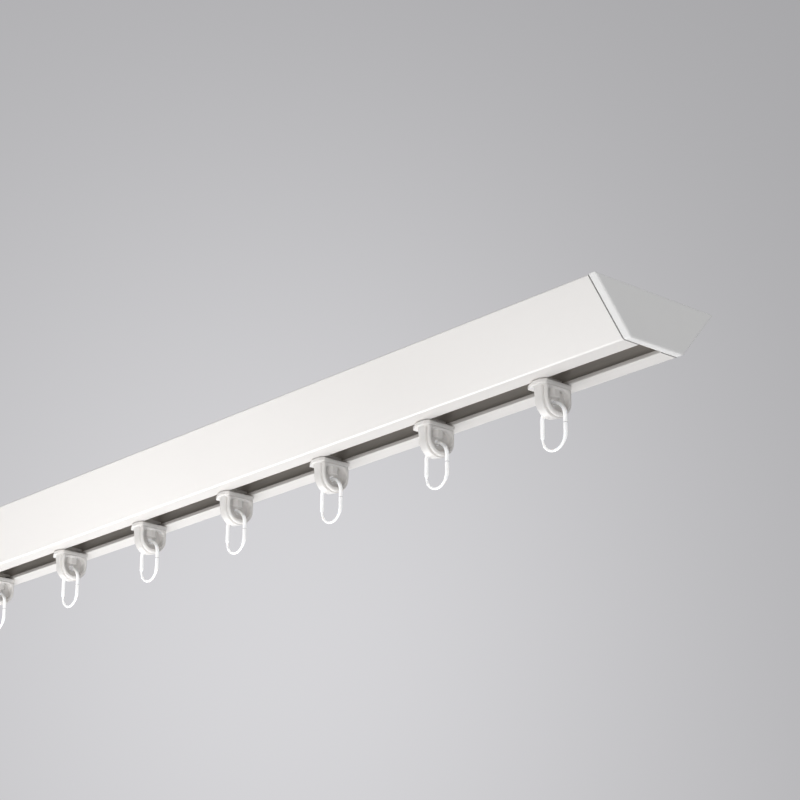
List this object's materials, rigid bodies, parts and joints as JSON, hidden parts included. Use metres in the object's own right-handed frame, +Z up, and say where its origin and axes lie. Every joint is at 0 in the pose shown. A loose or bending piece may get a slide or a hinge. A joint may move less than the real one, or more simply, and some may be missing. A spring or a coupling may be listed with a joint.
{
  "type": "curtain track",
  "caption": "Ceiling curtain track of trapezoid section with a lengthwise slot, end caps, sliding gliders and oval snap rings for curtain hooks.",
  "frame": {"origin": "middle of the face that lies against the ceiling", "axes": "+X along the track towards the right-hand cap, +Y across it, +Z up into the ceiling"},
  "size_m": [0.55, 0.0562, 0.0421],
  "materials": {
    "coated_aluminium": "white powder coat, satin",
    "cap_plastic": "moulded, satin",
    "glider_plastic": "moulded, satin",
    "ring_plastic": "moulded, glossy"
  },
  "bodies": {
    "track": {"track_profile": "coated_aluminium", "end_cap_right": "cap_plastic", "end_cap_left": "cap_plastic"},
    "glider_1_body": {"glider_1": "glider_plastic"},
    "ring_1_body": {"hook_ring_1": "ring_plastic"},
    "glider_2_body": {"glider_2": "glider_plastic"},
    "ring_2_body": {"hook_ring_2": "ring_plastic"},
    "glider_3_body": {"glider_3": "glider_plastic"},
    "ring_3_body": {"hook_ring_3": "ring_plastic"},
    "glider_4_body": {"glider_4": "glider_plastic"},
    "ring_4_body": {"hook_ring_4": "ring_plastic"},
    "glider_5_body": {"glider_5": "glider_plastic"},
    "ring_5_body": {"hook_ring_5": "ring_plastic"},
    "glider_6_body": {"glider_6": "glider_plastic"},
    "ring_6_body": {"hook_ring_6": "ring_plastic"},
    "glider_7_body": {"glider_7": "glider_plastic"},
    "ring_7_body": {"hook_ring_7": "ring_plastic"},
    "glider_8_body": {"glider_8": "glider_plastic"},
    "ring_8_body": {"hook_ring_8": "ring_plastic"},
    "glider_9_body": {"glider_9": "glider_plastic"},
    "ring_9_body": {"hook_ring_9": "ring_plastic"}
  },
  "joints": [
    {"name": "glider_1_slide", "type": "slide", "parent": "track", "child": "glider_1_body", "axis": [1, 0, 0], "range_m": [-0.0345, 0.0425]},
    {"name": "ring_1_swing", "type": "hinge", "parent": "glider_1_body", "child": "ring_1_body", "pos_m": [-0.2283, 0, -0.02515], "axis": [1, 0, 0], "range_deg": [-115, 115]},
    {"name": "glider_2_slide", "type": "slide", "parent": "track", "child": "glider_2_body", "axis": [1, 0, 0], "range_m": [-0.0425, 0.0425]},
    {"name": "ring_2_swing", "type": "hinge", "parent": "glider_2_body", "child": "ring_2_body", "pos_m": [-0.17122, 0, -0.02515], "axis": [1, 0, 0], "range_deg": [-115, 115]},
    {"name": "glider_3_slide", "type": "slide", "parent": "track", "child": "glider_3_body", "axis": [1, 0, 0], "range_m": [-0.0425, 0.0425]},
    {"name": "ring_3_swing", "type": "hinge", "parent": "glider_3_body", "child": "ring_3_body", "pos_m": [-0.11415, 0, -0.02515], "axis": [1, 0, 0], "range_deg": [-115, 115]},
    {"name": "glider_4_slide", "type": "slide", "parent": "track", "child": "glider_4_body", "axis": [1, 0, 0], "range_m": [-0.0425, 0.0425]},
    {"name": "ring_4_swing", "type": "hinge", "parent": "glider_4_body", "child": "ring_4_body", "pos_m": [-0.05708, 0, -0.02515], "axis": [1, 0, 0], "range_deg": [-115, 115]},
    {"name": "glider_5_slide", "type": "slide", "parent": "track", "child": "glider_5_body", "axis": [1, 0, 0], "range_m": [-0.0425, 0.0425]},
    {"name": "ring_5_swing", "type": "hinge", "parent": "glider_5_body", "child": "ring_5_body", "pos_m": [0, 0, -0.02515], "axis": [1, 0, 0], "range_deg": [-115, 115]},
    {"name": "glider_6_slide", "type": "slide", "parent": "track", "child": "glider_6_body", "axis": [1, 0, 0], "range_m": [-0.0425, 0.0425]},
    {"name": "ring_6_swing", "type": "hinge", "parent": "glider_6_body", "child": "ring_6_body", "pos_m": [0.05708, 0, -0.02515], "axis": [1, 0, 0], "range_deg": [-115, 115]},
    {"name": "glider_7_slide", "type": "slide", "parent": "track", "child": "glider_7_body", "axis": [1, 0, 0], "range_m": [-0.0425, 0.0425]},
    {"name": "ring_7_swing", "type": "hinge", "parent": "glider_7_body", "child": "ring_7_body", "pos_m": [0.11415, 0, -0.02515], "axis": [1, 0, 0], "range_deg": [-115, 115]},
    {"name": "glider_8_slide", "type": "slide", "parent": "track", "child": "glider_8_body", "axis": [1, 0, 0], "range_m": [-0.0425, 0.0425]},
    {"name": "ring_8_swing", "type": "hinge", "parent": "glider_8_body", "child": "ring_8_body", "pos_m": [0.17122, 0, -0.02515], "axis": [1, 0, 0], "range_deg": [-115, 115]},
    {"name": "glider_9_slide", "type": "slide", "parent": "track", "child": "glider_9_body", "axis": [1, 0, 0], "range_m": [-0.0425, 0.0375]},
    {"name": "ring_9_swing", "type": "hinge", "parent": "glider_9_body", "child": "ring_9_body", "pos_m": [0.2283, 0, -0.02515], "axis": [1, 0, 0], "range_deg": [-115, 115]}
  ]
}
